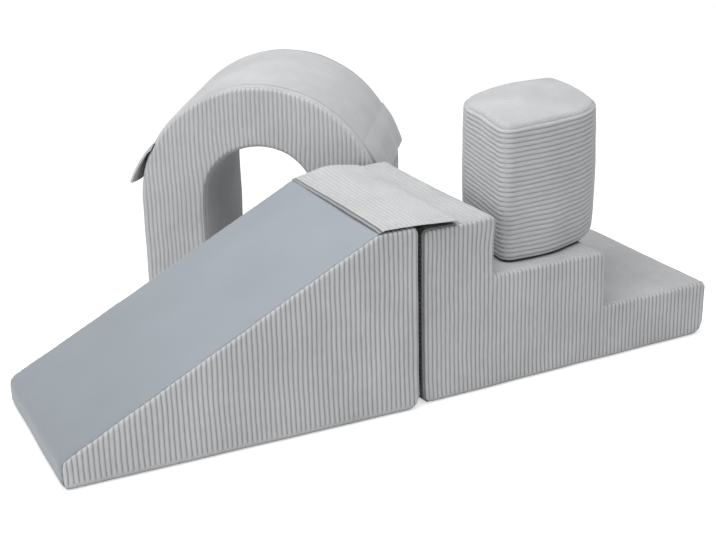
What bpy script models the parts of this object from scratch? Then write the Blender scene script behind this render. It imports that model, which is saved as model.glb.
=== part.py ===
# Soft play foam climber: a wedge slide, a three level stair block, a tunnel arch
# and an upright stool block, each a foam core in a sewn cover.
# Units are metres, +Z is up, the row of blocks runs along X and the front is -Y.
import math

import bmesh
import bpy
from mathutils import Matrix, Vector

# Driving dimensions of the row of blocks
block_width = 0.45
slide_length = 0.78
slide_height = 0.415
slide_toe_height = 0.060
slide_landing = 0.09
stairs_height = 0.40
step_count = 3
platform_length = 0.18
tread_length = 0.30
stairs_turn = math.radians(2.2)
stairs_back = 0.013
row_gap = 0.003

# Tunnel arch, placed behind the row and turned about the vertical
arch_width = 0.593
arch_height = 0.594
arch_depth = 0.45
opening_width = 0.289
opening_height = 0.452
arch_turn = math.radians(-32.5)
arch_corner_x = 0.146
arch_clearance = 0.010

# Upright stool block on the middle tread
stool_side = 0.324
stool_height = 0.315
stool_dome = 0.015
stool_corner_angle = math.radians(70)
stool_turn = math.radians(8.7)
stool_from_riser = 0.0455
stool_from_front = 0.048

# Cover cloth, seams and the clearance between pieces
cloth = 0.002
clearance = 0.0003
core_gap = 0.0008
edge_radius = 0.012
edge_steps = 1
corner_steps = 3
merge_distance = 0.00001

# Corner radii of the block outlines
floor_radius = 0.018
nosing_radius = 0.026
inner_corner_radius = 0.006
toe_radius = 0.024
ridge_radius = 0.050
leg_corner_radius = 0.018
arc_steps = 18

# Bridging flap between the slide and the stairs
flap_on_stairs = 0.100
flap_past_ridge = 0.007
flap_cloth = 0.005
flap_hump = 0.018
flap_hump_peak = 0.50
flap_hump_end = 0.74
flap_edge_margin = 0.002
flap_columns = 12
flap_rows = 6

# Side flaps of the arch, each tangent to the outer band where it is sewn on
arch_flap_length = 0.117
arch_flap_rise = math.radians(31.0)
arch_flap_cloth = 0.004
left_flap_margin = 0.006
right_flap_margin = 0.036
arch_flap_bend = 0.006
arch_flap_steps = 5

# Hook and loop strips
strip_width = 0.040
strip_thickness = 0.0015
strip_end_margin = 0.030
strip_from_ridge = 0.008
hook_from_tip = 0.010

# Stool outline and edges, two opposite corners tight and the other two well rounded
stool_tight_radius = 0.030
stool_round_radius = 0.160
stool_corner_steps = 8
stool_base_edge = 0.008
stool_top_edge = 0.020
stool_edge_steps = 3
stool_dome_steps = 4
stool_crest_share = 0.85

# Zip fasteners
zip_tape_width = 0.024
zip_tape_thickness = 0.0008
zip_teeth_width = 0.006
zip_teeth_thickness = 0.0012
zip_height = 0.045
zip_end_margin = 0.060
stool_zip_margin = 0.020
slider_length = 0.014
slider_width = 0.010
slider_thickness = 0.0032
slider_bevel = 0.0006
pull_length = 0.024
pull_width = 0.007
pull_thickness = 0.0010

# Least shares of a unit normal by which a face belongs to a side, the chute or the base
side_share = 0.6
chute_share = 0.25
toe_share = 0.3
base_share = 0.95
smooth_angle = math.radians(35)

# Linear colours and finishes read off the photograph
looks = {
    "corduroy": ((0.56, 0.57, 0.58), 0.95, 0.0),
    "chute_vinyl": ((0.37, 0.42, 0.47), 0.42, 0.0),
    "foam": ((0.80, 0.77, 0.68), 0.90, 0.0),
    "grip_cloth": ((0.10, 0.10, 0.11), 0.85, 0.0),
    "hook_tape": ((0.45, 0.46, 0.47), 0.80, 0.0),
    "loop_tape": ((0.50, 0.51, 0.52), 0.90, 0.0),
    "zip_tape": ((0.42, 0.43, 0.44), 0.85, 0.0),
    "zip_teeth": ((0.33, 0.34, 0.35), 0.45, 0.0),
    "zip_metal": ((0.62, 0.62, 0.63), 0.35, 0.9),
}

# Sizes that follow from the driving dimensions
step_height = stairs_height / step_count
tread_count = step_count - 1
stairs_length = platform_length + tread_count * tread_length
arch_radius = arch_width / 2
opening_radius = opening_width / 2
arch_springing = arch_height - arch_radius
opening_springing = opening_height - opening_radius
core_inset = cloth + core_gap
seam_half_angle = math.pi / 4 / (edge_steps + 1)
seam_cut = cloth * math.tan(seam_half_angle) + clearance / 2
strip_stack = 2 * (strip_thickness + clearance)

for leftover in list(bpy.data.objects):
    bpy.data.objects.remove(leftover, do_unlink=True)

part_collection = bpy.data.collections.new("soft_play_foam_climber")
cutter_collection = bpy.data.collections.new("cutters")
bpy.context.scene.collection.children.link(part_collection)
bpy.context.scene.collection.children.link(cutter_collection)


def make_material(name, look):
    color, roughness, metallic = looks[look]
    material = bpy.data.materials.new(name)
    material.use_nodes = True
    shader = material.node_tree.nodes["Principled BSDF"]
    shader.inputs["Base Color"].default_value = (*color, 1.0)
    shader.inputs["Roughness"].default_value = roughness
    shader.inputs["Metallic"].default_value = metallic
    material.diffuse_color = (*color, 1.0)
    return material


def add_part(name, mesh, look, parent, location=(0, 0, 0)):
    part = bpy.data.objects.new(name, mesh)
    part_collection.objects.link(part)
    part.parent = parent
    part.location = location
    mesh.materials.clear()
    mesh.materials.append(make_material(name, look))
    mesh.shade_smooth()
    mesh.set_sharp_from_angle(angle=smooth_angle)
    return part


def add_place(name, parent=None, location=(0, 0, 0), turn=0.0):
    place = bpy.data.objects.new(name, None)
    part_collection.objects.link(place)
    place.parent = parent
    place.location = location
    place.rotation_euler = (0, 0, turn)
    return place


# Outlines are lists of (x, z) points, with rounded corners written as arcs
def rounded_outline(corners, steps=corner_steps):
    points = []
    for index, (x, z, radius) in enumerate(corners):
        if radius == 0:
            points.append(Vector((x, z)))
            continue
        here = Vector((x, z))
        before = Vector(corners[index - 1][:2])
        after = Vector(corners[(index + 1) % len(corners)][:2])
        to_before = (before - here).normalized()
        to_after = (after - here).normalized()
        half_angle = to_before.angle(to_after) / 2
        reach = radius / math.tan(half_angle)
        start = here + to_before * reach
        end = here + to_after * reach
        center = here + (to_before + to_after).normalized() * (radius / math.sin(half_angle))
        sweep = (start - center).angle(end - center)
        side = (start - center).normalized()
        across = (end - center) - side * (end - center).dot(side)
        across = across.normalized()
        for step in range(steps + 1):
            angle = sweep * step / steps
            points.append(center + (side * math.cos(angle) + across * math.sin(angle)) * radius)
    return [tuple(point) for point in points]


def slide_outline():
    ridge = slide_length - slide_landing
    return rounded_outline([
        (0, 0, floor_radius),
        (slide_length, 0, floor_radius),
        (slide_length, slide_height, floor_radius),
        (ridge, slide_height, ridge_radius),
        (0, slide_toe_height, toe_radius),
    ])


def stairs_outline():
    corners = [(0, 0, floor_radius), (stairs_length, 0, nosing_radius)]
    x = stairs_length
    for step in range(1, tread_count + 1):
        corners.append((x, step * step_height, nosing_radius))
        x -= tread_length
        corners.append((x, step * step_height, inner_corner_radius))
    corners.append((x, stairs_height, nosing_radius))
    corners.append((0, stairs_height, floor_radius))
    return rounded_outline(corners)


def arch_outline():
    outer = []
    inner = []
    for step in range(arc_steps + 1):
        angle = math.pi * step / arc_steps
        outer.append((math.cos(angle), math.sin(angle)))
        inner.append((-math.cos(angle), math.sin(angle)))
    points = rounded_outline([
        (-arch_radius, arch_springing, 0),
        (-arch_radius, 0, leg_corner_radius),
        (-opening_radius, 0, leg_corner_radius),
        (-opening_radius, opening_springing, 0),
    ])[1:-1]
    points += [(x * opening_radius, opening_springing + z * opening_radius) for x, z in inner]
    points += rounded_outline([
        (opening_radius, opening_springing, 0),
        (opening_radius, 0, leg_corner_radius),
        (arch_radius, 0, leg_corner_radius),
        (arch_radius, arch_springing, 0),
    ])[1:-1]
    points += [(x * arch_radius, arch_springing + z * arch_radius) for x, z in outer]
    return points


def block_mesh(name, outline, depth, inset):
    """Outline thickened along Y with rounded rims, all surfaces moved in by the inset."""
    curve = bpy.data.curves.new(name, "CURVE")
    curve.dimensions = "2D"
    curve.fill_mode = "BOTH"
    curve.extrude = depth / 2 - edge_radius
    curve.bevel_depth = edge_radius - inset
    curve.bevel_resolution = edge_steps
    curve.offset = -edge_radius
    spline = curve.splines.new("POLY")
    spline.points.add(len(outline) - 1)
    for point, (x, z) in zip(spline.points, outline):
        point.co = (x, z, 0, 1)
    spline.use_cyclic_u = True
    guide = bpy.data.objects.new(name, curve)
    bpy.context.scene.collection.objects.link(guide)
    graph = bpy.context.evaluated_depsgraph_get()
    mesh = bpy.data.meshes.new_from_object(guide.evaluated_get(graph))
    bpy.data.objects.remove(guide)
    bpy.data.curves.remove(curve)
    mesh.name = name
    bm = bmesh.new()
    bm.from_mesh(mesh)
    bmesh.ops.remove_doubles(bm, verts=bm.verts, dist=merge_distance)
    bmesh.ops.rotate(bm, verts=bm.verts, matrix=Matrix.Rotation(math.pi / 2, 3, "X"))
    bmesh.ops.translate(bm, verts=bm.verts, vec=(0, depth / 2, 0))
    bmesh.ops.recalc_face_normals(bm, faces=bm.faces)
    bm.to_mesh(mesh)
    bm.free()
    return mesh


def panel_mesh(source, name, belongs):
    """The faces of a block's outer surface that belong to one cover panel, cut back at its seams."""
    bm = bmesh.new()
    bm.from_mesh(source)
    bm.normal_update()
    others = [face for face in bm.faces if not belongs(face.normal, face.calc_center_median())]
    bmesh.ops.delete(bm, geom=others, context="FACES")
    border = bmesh.ops.inset_region(bm, faces=bm.faces[:], thickness=seam_cut,
                                    use_boundary=True, use_even_offset=True)["faces"]
    bmesh.ops.delete(bm, geom=border, context="FACES")
    mesh = bpy.data.meshes.new(name)
    bm.to_mesh(mesh)
    bm.free()
    return mesh


def add_panel(name, source, belongs, look, parent):
    panel = add_part(name, panel_mesh(source, name, belongs), look, parent)
    shell = panel.modifiers.new("cloth", "SOLIDIFY")
    shell.thickness = cloth
    shell.offset = -1
    return panel


def box_mesh(name, low, high):
    bm = bmesh.new()
    size = Vector(high) - Vector(low)
    middle = (Vector(high) + Vector(low)) / 2
    bmesh.ops.create_cube(bm, size=1, matrix=Matrix.Translation(middle) @ Matrix.Diagonal((*size, 1)))
    mesh = bpy.data.meshes.new(name)
    bm.to_mesh(mesh)
    bm.free()
    return mesh


def add_box(name, low, high, look, parent, location=(0, 0, 0)):
    return add_part(name, box_mesh(name, low, high), look, parent, location)


def add_cutter(name, low, high, parent):
    cutter = bpy.data.objects.new(name, box_mesh(name, low, high))
    cutter_collection.objects.link(cutter)
    cutter.parent = parent
    cutter.hide_render = True
    cutter.display_type = "WIRE"
    return cutter


# A zip runs along its place's X, with the cloth behind it at Y zero and out towards +Y
def add_zip(prefix, place, length):
    half = length / 2
    tape_out = clearance + zip_tape_thickness
    teeth_out = tape_out + clearance + zip_teeth_thickness
    add_box(prefix + "_zip_tape", (-half, clearance, -zip_tape_width / 2),
            (half, tape_out, zip_tape_width / 2), "zip_tape", place)
    add_box(prefix + "_zip_teeth", (-half, tape_out + clearance, -zip_teeth_width / 2),
            (half, teeth_out, zip_teeth_width / 2), "zip_teeth", place)

    slider_base = tape_out + clearance
    slider_out = slider_base + slider_thickness
    slider_at = half - slider_length
    slider = add_box(prefix + "_zip_slider", (-slider_length / 2, slider_base, -slider_width / 2),
                     (slider_length / 2, slider_out, slider_width / 2), "zip_metal", place,
                     (slider_at, 0, 0))
    channel = add_cutter(prefix + "_zip_channel",
                         (-slider_length, 0, -zip_teeth_width / 2 - clearance),
                         (slider_length, teeth_out + clearance, zip_teeth_width / 2 + clearance), slider)
    tab = add_cutter(prefix + "_zip_tab",
                     (-pull_width / 2, slider_out - pull_thickness, -pull_length),
                     (pull_width / 2, slider_out + pull_thickness / 2, 0), slider)
    cut = slider.modifiers.new("channel", "BOOLEAN")
    cut.operation = "DIFFERENCE"
    cut.object = channel
    join = slider.modifiers.new("tab", "BOOLEAN")
    join.operation = "UNION"
    join.object = tab
    rounding = slider.modifiers.new("rounding", "BEVEL")
    rounding.width = slider_bevel
    rounding.segments = 1
    rounding.limit_method = "ANGLE"
    return slider


# The whole set hangs from one place, which is moved at the end to centre the set
playset = add_place("playset")


# Wedge slide, toe at X zero, front face at Y zero
slide_place = add_place("slide_place", playset)
outline = slide_outline()
surface = block_mesh("slide_surface", outline, block_width, 0)


def on_chute(normal, center):
    slopes = normal.x < -chute_share and normal.z > -toe_share
    return slopes and abs(normal.y) < side_share


def on_base(normal, center):
    return normal.z < -base_share and center.z < edge_radius


def on_side(normal, center):
    return abs(normal.y) > side_share and not on_base(normal, center)


def on_slide_back(normal, center):
    return not (on_chute(normal, center) or on_base(normal, center) or on_side(normal, center))


def near_side(normal, center):
    return on_side(normal, center) and normal.y < 0


def far_side(normal, center):
    return on_side(normal, center) and normal.y > 0


add_part("slide_foam_core", block_mesh("slide_foam_core", outline, block_width, core_inset),
         "foam", slide_place)
add_panel("slide_near_side", surface, near_side, "corduroy", slide_place)
add_panel("slide_far_side", surface, far_side, "corduroy", slide_place)
add_panel("slide_back_panel", surface, on_slide_back, "corduroy", slide_place)
add_panel("slide_chute", surface, on_chute, "chute_vinyl", slide_place)
add_panel("slide_grip_base", surface, on_base, "grip_cloth", slide_place)

strip_start = slide_length - slide_landing + strip_from_ridge
add_box("slide_loop_strip",
        (strip_start, strip_end_margin, slide_height + clearance),
        (strip_start + strip_width, block_width - strip_end_margin,
         slide_height + clearance + strip_thickness),
        "loop_tape", slide_place)

slide_zip = add_place("slide_zip_place", slide_place,
                      (slide_length / 2, block_width, zip_height))
add_zip("slide", slide_zip, slide_length - 2 * zip_end_margin)


# Stair block, a little turned, with its far corner close against the slide's back
stairs_x = slide_length + row_gap + block_width * math.sin(stairs_turn)
stairs_place = add_place("stairs_place", playset, (stairs_x, stairs_back, 0), stairs_turn)
outline = stairs_outline()
surface = block_mesh("stairs_surface", outline, block_width, 0)


def on_steps(normal, center):
    return not (on_base(normal, center) or on_side(normal, center))


add_part("stairs_foam_core", block_mesh("stairs_foam_core", outline, block_width, core_inset),
         "foam", stairs_place)
add_panel("stairs_near_side", surface, near_side, "corduroy", stairs_place)
add_panel("stairs_far_side", surface, far_side, "corduroy", stairs_place)
add_panel("stairs_step_panel", surface, on_steps, "corduroy", stairs_place)
add_panel("stairs_grip_base", surface, on_base, "grip_cloth", stairs_place)

stairs_zip = add_place("stairs_zip_place", stairs_place,
                       (stairs_length / 2, block_width, zip_height))
add_zip("stairs", stairs_zip, stairs_length - 2 * zip_end_margin)


# Bridging flap, sewn to the stairs' platform and lying square over the slide's landing
flap_reach = flap_on_stairs + row_gap
flap_length = flap_reach + slide_landing + flap_past_ridge
flap_seat = clearance
flap_bottom = slide_height - stairs_height + strip_stack + clearance


def flap_underside(along, across):
    """Height over the platform at shares of the length from the seam and of the width."""
    rise = min(1, along * flap_length / flap_reach)
    if along < flap_hump_peak:
        turn = along / flap_hump_peak
    else:
        turn = max(0, (flap_hump_end - along) / (flap_hump_end - flap_hump_peak))
    hump = math.sin(math.pi / 2 * turn) ** 2 * across ** 2
    return flap_seat + (flap_bottom - flap_seat) * rise + flap_hump * hump


flap_place = add_place("bridge_flap_place", playset,
                       (slide_length + flap_reach, 0, stairs_height + flap_seat + flap_cloth))
bm = bmesh.new()
bmesh.ops.create_grid(bm, x_segments=flap_columns, y_segments=flap_rows, size=0.5)
for vert in bm.verts:
    along = 0.5 - vert.co.x
    across = 0.5 + vert.co.y
    vert.co.x = -along * flap_length
    vert.co.y = flap_edge_margin + across * (block_width - 2 * flap_edge_margin)
    vert.co.z = flap_underside(along, across) - flap_seat - flap_cloth
mesh = bpy.data.meshes.new("bridge_flap")
bm.to_mesh(mesh)
bm.free()
flap = add_part("bridge_flap", mesh, "corduroy", flap_place)
thick = flap.modifiers.new("cloth", "SOLIDIFY")
thick.thickness = flap_cloth
thick.offset = 1 if flap.data.polygons[0].normal.z > 0 else -1
thick.use_even_offset = True

hook_start = strip_start - slide_length - flap_reach
hook_top = flap_bottom - clearance - flap_seat - flap_cloth
add_box("bridge_flap_hook_strip",
        (hook_start, strip_end_margin, hook_top - strip_thickness),
        (hook_start + strip_width, block_width - strip_end_margin, hook_top),
        "hook_tape", flap_place)


# Tunnel arch, front face at local Y zero, turned to stand behind the row
stairs_far_y = stairs_back + block_width * math.cos(stairs_turn)
near_corner_y = stairs_far_y + arch_corner_x * math.tan(stairs_turn) + arch_clearance
arch_x = slide_length + row_gap + arch_corner_x - arch_radius * math.cos(arch_turn)
arch_y = near_corner_y - arch_radius * math.sin(arch_turn)
arch_place = add_place("arch_place", playset, (arch_x, arch_y, 0), arch_turn)
outline = arch_outline()
surface = block_mesh("arch_surface", outline, arch_depth, 0)


def faces_opening(normal, center):
    up = max(0, center.z - opening_springing)
    inward = normal.x * center.x + normal.z * up
    inside = abs(center.x) < (arch_radius + opening_radius) / 2
    return inward < 0 and inside and center.z < opening_height + leg_corner_radius


def on_lining(normal, center):
    across = abs(normal.y) < side_share
    return faces_opening(normal, center) and across and not on_base(normal, center)


def on_band(normal, center):
    outside = not faces_opening(normal, center)
    return outside and abs(normal.y) < side_share and not on_base(normal, center)


def under_left_leg(normal, center):
    return on_base(normal, center) and center.x < 0


def under_right_leg(normal, center):
    return on_base(normal, center) and center.x > 0


add_part("arch_foam_core", block_mesh("arch_foam_core", outline, arch_depth, core_inset),
         "foam", arch_place)
add_panel("arch_front_panel", surface, near_side, "corduroy", arch_place)
add_panel("arch_back_panel", surface, far_side, "corduroy", arch_place)
add_panel("arch_outer_band", surface, on_band, "corduroy", arch_place)
add_panel("arch_tunnel_lining", surface, on_lining, "corduroy", arch_place)
add_panel("arch_left_grip_base", surface, under_left_leg, "grip_cloth", arch_place)
add_panel("arch_right_grip_base", surface, under_right_leg, "grip_cloth", arch_place)


def add_arch_flap(side, sign, margin):
    """A flap that leaves the band along its tangent, hinged on its sewn edge."""
    out = Vector((sign * math.cos(arch_flap_rise), 0, math.sin(arch_flap_rise)))
    down = Vector((sign * math.sin(arch_flap_rise), 0, -math.cos(arch_flap_rise)))
    top = arch_radius + clearance + arch_flap_cloth
    root = Vector((0, 0, arch_springing)) + out * top
    place = add_place("arch_" + side + "_flap_place", arch_place, root)
    bm = bmesh.new()
    bmesh.ops.create_grid(bm, x_segments=arch_flap_steps, y_segments=1, size=0.5)
    for vert in bm.verts:
        along = 0.5 + vert.co.x
        across = 0.5 + vert.co.y
        y = margin + across * (arch_depth - margin - left_flap_margin)
        lift = arch_flap_bend * along ** 2 - arch_flap_cloth
        vert.co = down * along * arch_flap_length + out * lift + Vector((0, y, 0))
    bmesh.ops.recalc_face_normals(bm, faces=bm.faces)
    if bm.faces[:][0].normal.dot(out) < 0:
        bmesh.ops.reverse_faces(bm, faces=bm.faces)
    mesh = bpy.data.meshes.new("arch_" + side + "_flap")
    bm.to_mesh(mesh)
    bm.free()
    flap = add_part("arch_" + side + "_flap", mesh, "corduroy", place)
    thick = flap.modifiers.new("cloth", "SOLIDIFY")
    thick.thickness = arch_flap_cloth
    thick.offset = 1

    # The hook strip is a flat panel under the free end of the flap
    start = arch_flap_length - hook_from_tip - strip_width
    bm = bmesh.new()
    for along in (start, start + strip_width):
        share = along / arch_flap_length
        lift = arch_flap_bend * share ** 2 - arch_flap_cloth - 2 * clearance - strip_thickness
        for y in (margin + strip_end_margin, arch_depth - strip_end_margin):
            bm.verts.new(down * along + out * lift + Vector((0, y, 0)))
    bm.verts.ensure_lookup_table()
    corners = [bm.verts[index] for index in (0, 1, 3, 2)]
    face = bm.faces.new(corners)
    bm.normal_update()
    if face.normal.dot(out) < 0:
        face.normal_flip()
    mesh = bpy.data.meshes.new("arch_" + side + "_hook_strip")
    bm.to_mesh(mesh)
    bm.free()
    strip = add_part("arch_" + side + "_hook_strip", mesh, "hook_tape", place)
    thick = strip.modifiers.new("tape", "SOLIDIFY")
    thick.thickness = strip_thickness
    thick.offset = 1


add_arch_flap("left", -1, left_flap_margin)
add_arch_flap("right", 1, right_flap_margin)

arch_zip = add_place("arch_zip_place", arch_place,
                     (-arch_radius, arch_depth / 2, zip_height), math.pi / 2)
add_zip("arch", arch_zip, arch_depth - 2 * zip_end_margin)


# Stool block on the middle tread, its plan a rhombus that starts at the tight near corner
def stool_plan(inset):
    lean = stool_side * math.cos(stool_corner_angle)
    reach = stool_side * math.sin(stool_corner_angle)
    middle = Vector((stool_side + lean, reach)) / 2
    corners = []
    for x, y, radius, angle in (
        (0, 0, stool_tight_radius, stool_corner_angle),
        (stool_side, 0, stool_round_radius, math.pi - stool_corner_angle),
        (stool_side + lean, reach, stool_tight_radius, stool_corner_angle),
        (lean, reach, stool_round_radius, math.pi - stool_corner_angle),
    ):
        inward = (middle - Vector((x, y))).normalized()
        corner = Vector((x, y)) + inward * inset / math.sin(angle / 2)
        corners.append((*corner, radius - inset))
    return rounded_outline(corners, stool_corner_steps)


def stool_levels(inset):
    """Height, plan inset and pull towards the middle of each ring, from the floor edge upwards."""
    levels = []
    for step in range(stool_edge_steps + 1):
        angle = math.pi / 2 * step / stool_edge_steps
        levels.append((stool_base_edge * (1 - math.cos(angle)) + inset,
                       stool_base_edge * (1 - math.sin(angle)) + inset, 0))
    for step in range(stool_edge_steps + 1):
        angle = math.pi / 2 * step / stool_edge_steps
        levels.append((stool_height - stool_top_edge + stool_top_edge * math.sin(angle) - inset,
                       stool_top_edge * (1 - math.cos(angle)) + inset, 0))
    for step in range(1, stool_dome_steps + 1):
        share = step / stool_dome_steps
        levels.append((stool_height + stool_dome * (1 - (1 - share) ** 2) - inset,
                       stool_top_edge + inset, share * stool_crest_share))
    return levels


def stool_mesh(name, inset):
    bm = bmesh.new()
    rings = []
    for z, reach, pull_share in stool_levels(inset):
        plan = [Vector(point) for point in stool_plan(reach)]
        middle = sum(plan, Vector((0, 0))) / len(plan)
        ring = [point.lerp(middle, pull_share) for point in plan]
        rings.append([bm.verts.new((x, y, z)) for x, y in ring])
    for lower, upper in zip(rings, rings[1:]):
        for index in range(len(lower)):
            behind = index - 1
            bm.faces.new((lower[behind], lower[index], upper[index], upper[behind]))
    bm.faces.new(rings[0][::-1])
    bm.faces.new(rings[-1])
    bmesh.ops.recalc_face_normals(bm, faces=bm.faces)
    mesh = bpy.data.meshes.new(name)
    bm.to_mesh(mesh)
    bm.free()
    return mesh


def on_stool_top(normal, center):
    return center.z > stool_height - stool_top_edge / 2


def on_stool_band(normal, center):
    return not (on_base(normal, center) or on_stool_top(normal, center))


stool_place = add_place("stool_place", stairs_place,
                        (platform_length + stool_from_riser, stool_from_front,
                         step_height * tread_count + clearance), stool_turn)
surface = stool_mesh("stool_surface", 0)
add_part("stool_foam_core", stool_mesh("stool_foam_core", core_inset), "foam", stool_place)
add_panel("stool_side_band", surface, on_stool_band, "corduroy", stool_place)
add_panel("stool_top_panel", surface, on_stool_top, "corduroy", stool_place)
add_panel("stool_grip_base", surface, on_base, "grip_cloth", stool_place)

# The zip keeps to the flat stretch of the far side, between the arcs of its two corners
tight_arc = stool_tight_radius / math.tan(stool_corner_angle / 2)
round_arc = stool_round_radius * math.tan(stool_corner_angle / 2)
flat_length = stool_side - tight_arc - round_arc
flat_middle = stool_side * math.cos(stool_corner_angle) + round_arc + flat_length / 2
stool_zip = add_place("stool_zip_place", stool_place,
                      (flat_middle, stool_side * math.sin(stool_corner_angle), zip_height))
add_zip("stool", stool_zip, flat_length - 2 * stool_zip_margin)


# The set stands with the middle of its footprint over the origin
bpy.context.view_layer.update()
graph = bpy.context.evaluated_depsgraph_get()
corners = []
for part in part_collection.objects:
    if part.type == "MESH":
        solid = part.evaluated_get(graph)
        corners += [solid.matrix_world @ vert.co for vert in solid.data.vertices]
for axis in (0, 1):
    values = [corner[axis] for corner in corners]
    playset.location[axis] = -(min(values) + max(values)) / 2
bpy.context.view_layer.update()
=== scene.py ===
import math

import bpy
import numpy as np
from mathutils import Matrix, Vector
from mathutils.kdtree import KDTree


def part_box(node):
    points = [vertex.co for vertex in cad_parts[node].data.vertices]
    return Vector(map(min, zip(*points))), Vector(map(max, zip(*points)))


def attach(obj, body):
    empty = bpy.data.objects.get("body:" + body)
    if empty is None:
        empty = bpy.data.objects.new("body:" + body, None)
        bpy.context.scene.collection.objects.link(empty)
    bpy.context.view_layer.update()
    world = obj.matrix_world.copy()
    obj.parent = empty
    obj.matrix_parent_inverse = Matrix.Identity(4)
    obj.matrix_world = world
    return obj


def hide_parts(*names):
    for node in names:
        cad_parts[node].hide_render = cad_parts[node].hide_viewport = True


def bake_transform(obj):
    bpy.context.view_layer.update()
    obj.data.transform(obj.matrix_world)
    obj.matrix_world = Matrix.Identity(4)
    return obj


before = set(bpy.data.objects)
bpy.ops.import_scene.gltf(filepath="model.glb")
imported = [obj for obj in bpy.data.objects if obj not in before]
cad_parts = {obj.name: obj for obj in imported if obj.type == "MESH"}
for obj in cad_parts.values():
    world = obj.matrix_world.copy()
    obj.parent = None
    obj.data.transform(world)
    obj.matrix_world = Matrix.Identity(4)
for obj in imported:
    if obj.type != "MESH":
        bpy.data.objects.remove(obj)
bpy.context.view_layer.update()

print("frame loaded")
pathStep = 0.0008    # between points of an outline


def smooth(value):
    t = np.clip(value, 0, 1)
    return t * t * (3 - 2 * t)


# 1 at 0, falling away on both sides
def bell(value, width):
    return np.exp(-(value / width) ** 2)


def unit(vectors):
    return vectors / np.linalg.norm(vectors, axis=-1, keepdims=True)


# steps from 0 to 1 that lie closer at both ends
def closerAtEnds(count):
    return (1 - np.cos(math.pi * np.linspace(0, 1, count + 1))) / 2


# a smooth curve through given points
def throughPoints(value, places, heights):
    places, heights = np.array(places), np.array(heights)
    steps = np.diff(heights) / np.diff(places)
    slopes = np.concatenate((steps[:1], (steps[1:] + steps[:-1]) / 2, steps[-1:]))
    k = np.clip(np.searchsorted(places, value, side="right") - 1, 0, len(steps) - 1)
    width = places[k + 1] - places[k]
    t = (value - places[k]) / width
    return (heights[k] * (1 + 2 * t) * (1 - t) ** 2 + slopes[k] * width * t * (1 - t) ** 2
            + heights[k + 1] * t * t * (3 - 2 * t) + slopes[k + 1] * width * t * t * (t - 1))


# soft random field between about -1 and 1, the same each run
def waves(seed, size, *coords):
    draw = np.random.default_rng(seed)
    total = 0
    for octave in range(3):
        for _ in range(3):
            turn = draw.normal(size=len(coords))
            turn *= 2 * math.pi / size * 1.7 ** octave / np.linalg.norm(turn)
            phase = draw.uniform(0, 2 * math.pi)
            total = total + np.sin(sum(k * c for k, c in zip(turn, coords)) + phase) * 0.6 ** octave
    return total / 4


# closed outlines with rounded corners, counter-clockwise, starting in the middle of the first corner
def roundedPath(corners):
    points, normals, marks = [], [], []
    for index, (a, b, radius) in enumerate(corners):
        here = np.array((a, b), float)
        before = unit(np.array(corners[index - 1][:2]) - here)
        after = unit(np.array(corners[(index + 1) % len(corners)][:2]) - here)
        half = math.acos(np.clip(before @ after, -1, 1)) / 2
        convex = before[1] * after[0] - before[0] * after[1] > 0
        centre = here + unit(before + after) * radius / math.sin(half)
        first = here + before * radius / math.tan(half) - centre
        sweep = (math.pi - 2 * half) * (1 if convex else -1)
        steps = max(6, math.ceil(radius * abs(sweep) / pathStep))
        angles = math.atan2(first[1], first[0]) + sweep * np.linspace(0, 1, steps + 1)
        ring = np.stack((np.cos(angles), np.sin(angles)), 1)
        marks.append(sum(len(p) for p in points) + steps // 2)
        points.append(centre + ring * radius)
        normals.append(ring if convex else -ring)
    points, normals = np.concatenate(points), np.concatenate(normals)
    points, normals = np.roll(points, -marks[0], 0), np.roll(normals, -marks[0], 0)
    points, normals = np.vstack((points, points[:1])), np.vstack((normals, normals[:1]))
    along = np.concatenate(((0,), np.cumsum(np.linalg.norm(np.diff(points, axis=0), axis=1))))
    return {"points": points, "normals": normals, "along": along, "length": along[-1],
            "corners": [along[mark - marks[0]] for mark in marks]}


def onPath(path, along):
    spot = np.stack([np.interp(along, path["along"], path["points"][:, k]) for k in (0, 1)], -1)
    out = np.stack([np.interp(along, path["along"], path["normals"][:, k]) for k in (0, 1)], -1)
    return spot, unit(out)


# how far spots lie inside a path, and which way its edge is
def insideEdge(path, spots):
    points, normals = onPath(path, np.arange(0, path["length"], pathStep))
    tree = KDTree(len(points))
    for index, (a, b) in enumerate(points):
        tree.insert((a, b, 0), index)
    tree.balance()
    nearest = np.array([tree.find((a, b, 0))[1] for a, b in spots.reshape(-1, 2)])
    out = normals[nearest].reshape(spots.shape)
    gap = ((points[nearest].reshape(spots.shape) - spots) * out).sum(-1)
    return np.maximum(gap, 0), out


# covers: every panel is a fine grid over its block, with the ribs pressed in along the normal
cover = {
    "pitch": 0.0109, "ribDepth": 0.0024,
    "ribSharpness": 0.62,    # lower is a rounder crest and a narrower groove
    "perRib": 8,             # mesh lines to each rib
    "ribEnd": 0.0035,        # ribs flatten this far from a seam
    "ribUneven": 0.12,       # share by which their depth changes
    "wander": 0.0009,        # how far ribs stray from straight
    "plainLevel": 0.25,      # cloth without ribs lies this share of their depth below the crests
    "plainPile": 0.72,       # and is drawn this pale, from 0 in a groove to 1 on a crest
    "seamDepth": 0.0014, "seamWidth": 0.0018, "bindingWidth": 0.009, "bindingRise": 0.0005,
    "creaseDepth": 0.0016, "creaseWidth": 0.0012, "creaseShade": 0.25,    # the crease beside a binding
    "pucker": 0.0005, "puckerLength": 0.019, "puckerReach": 0.007,
    "edgeDrop": 0.0007, "dropReach": 0.030, "dropWidth": 0.012,    # a block's edges stand back from its middle
    "fullness": 0.0016, "fullReach": 0.012,    # the middle of a panel stands out of the cut pattern
    "looseness": 0.0010, "looseSize": 0.16,    # slow unevenness of the stuffing
    "footing": 0.05,    # it dies away this near to what the block stands on
}
spacing = cover["pitch"] / cover["perRib"]

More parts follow.
